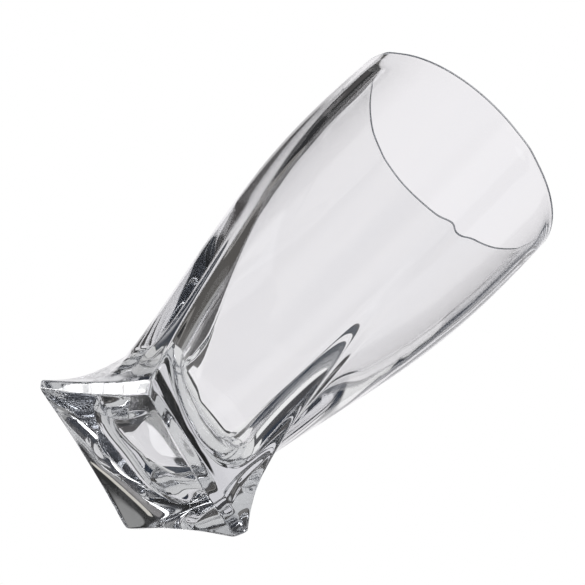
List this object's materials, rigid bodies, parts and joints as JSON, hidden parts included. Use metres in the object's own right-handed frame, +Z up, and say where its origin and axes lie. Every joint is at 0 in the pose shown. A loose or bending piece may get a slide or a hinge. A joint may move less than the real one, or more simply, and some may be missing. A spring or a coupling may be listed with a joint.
{
  "type": "water glass",
  "caption": "Tall clear tumbler: square foot with flared toes, ridges that twist up from the toes and fade into a round thin wall, thick solid base, open round mouth.",
  "frame": {"origin": "middle of the flat underside of the foot", "axes": "+Z up the middle of the glass towards its mouth; +X and +Y symmetric about the foot's sides before the ridges turn"},
  "size_m": [0.0778, 0.0778, 0.15],
  "materials": {
    "glass": "clear, fire-polished"
  },
  "bodies": {
    "root": {"foot": "glass", "twisted_bowl": "glass", "upper_wall": "glass", "lip": "glass"}
  },
  "joints": []
}
